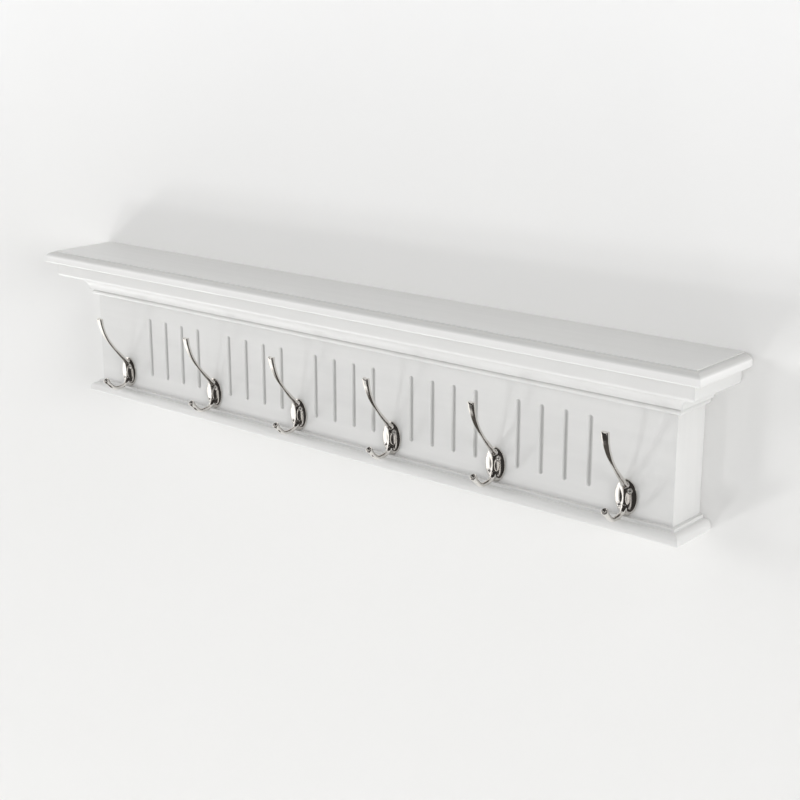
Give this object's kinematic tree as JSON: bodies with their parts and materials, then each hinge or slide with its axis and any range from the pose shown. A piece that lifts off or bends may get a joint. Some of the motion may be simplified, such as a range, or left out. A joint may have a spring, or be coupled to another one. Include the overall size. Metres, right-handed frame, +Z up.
{
  "type": "wall hook rack",
  "caption": "White painted wall shelf rack with a moulded crown, a fluted front panel and a row of double coat hooks in polished nickel.",
  "frame": {"origin": "on the wall plane, at the back face of the hanging rail, midway between the centres of the two keyhole hangers' entry holes", "axes": "+X along the rack to the right as seen from the room, +Y into the wall, +Z up"},
  "size_m": [1.2, 0.125, 0.235],
  "materials": {
    "painted_wood": "white satin paint",
    "bare_wood": "sawn, unpainted",
    "zinc_steel": "zinc plated",
    "polished_nickel": "polished nickel plate"
  },
  "bodies": {
    "root": {"shelf_board": "painted_wood", "frieze_front": "painted_wood", "frieze_return_left": "painted_wood", "frieze_return_right": "painted_wood", "cove_front": "painted_wood", "cove_return_left": "painted_wood", "cove_return_right": "painted_wood", "front_panel": "painted_wood", "end_panel_left": "painted_wood", "end_panel_right": "painted_wood", "base_front": "painted_wood", "base_return_left": "painted_wood", "base_return_right": "painted_wood", "bottom_board": "painted_wood", "hanging_rail": "bare_wood", "upper_corner_blocks": "bare_wood", "lower_corner_blocks": "bare_wood", "shelf_dowels": "bare_wood", "hanger_plate_left": "zinc_steel", "hanger_plate_right": "zinc_steel", "hanger_screws": "zinc_steel", "coat_hook_1": "polished_nickel", "coat_hook_2": "polished_nickel", "coat_hook_3": "polished_nickel", "coat_hook_4": "polished_nickel", "coat_hook_5": "polished_nickel", "coat_hook_6": "polished_nickel", "hook_screws": "polished_nickel"}
  },
  "joints": []
}
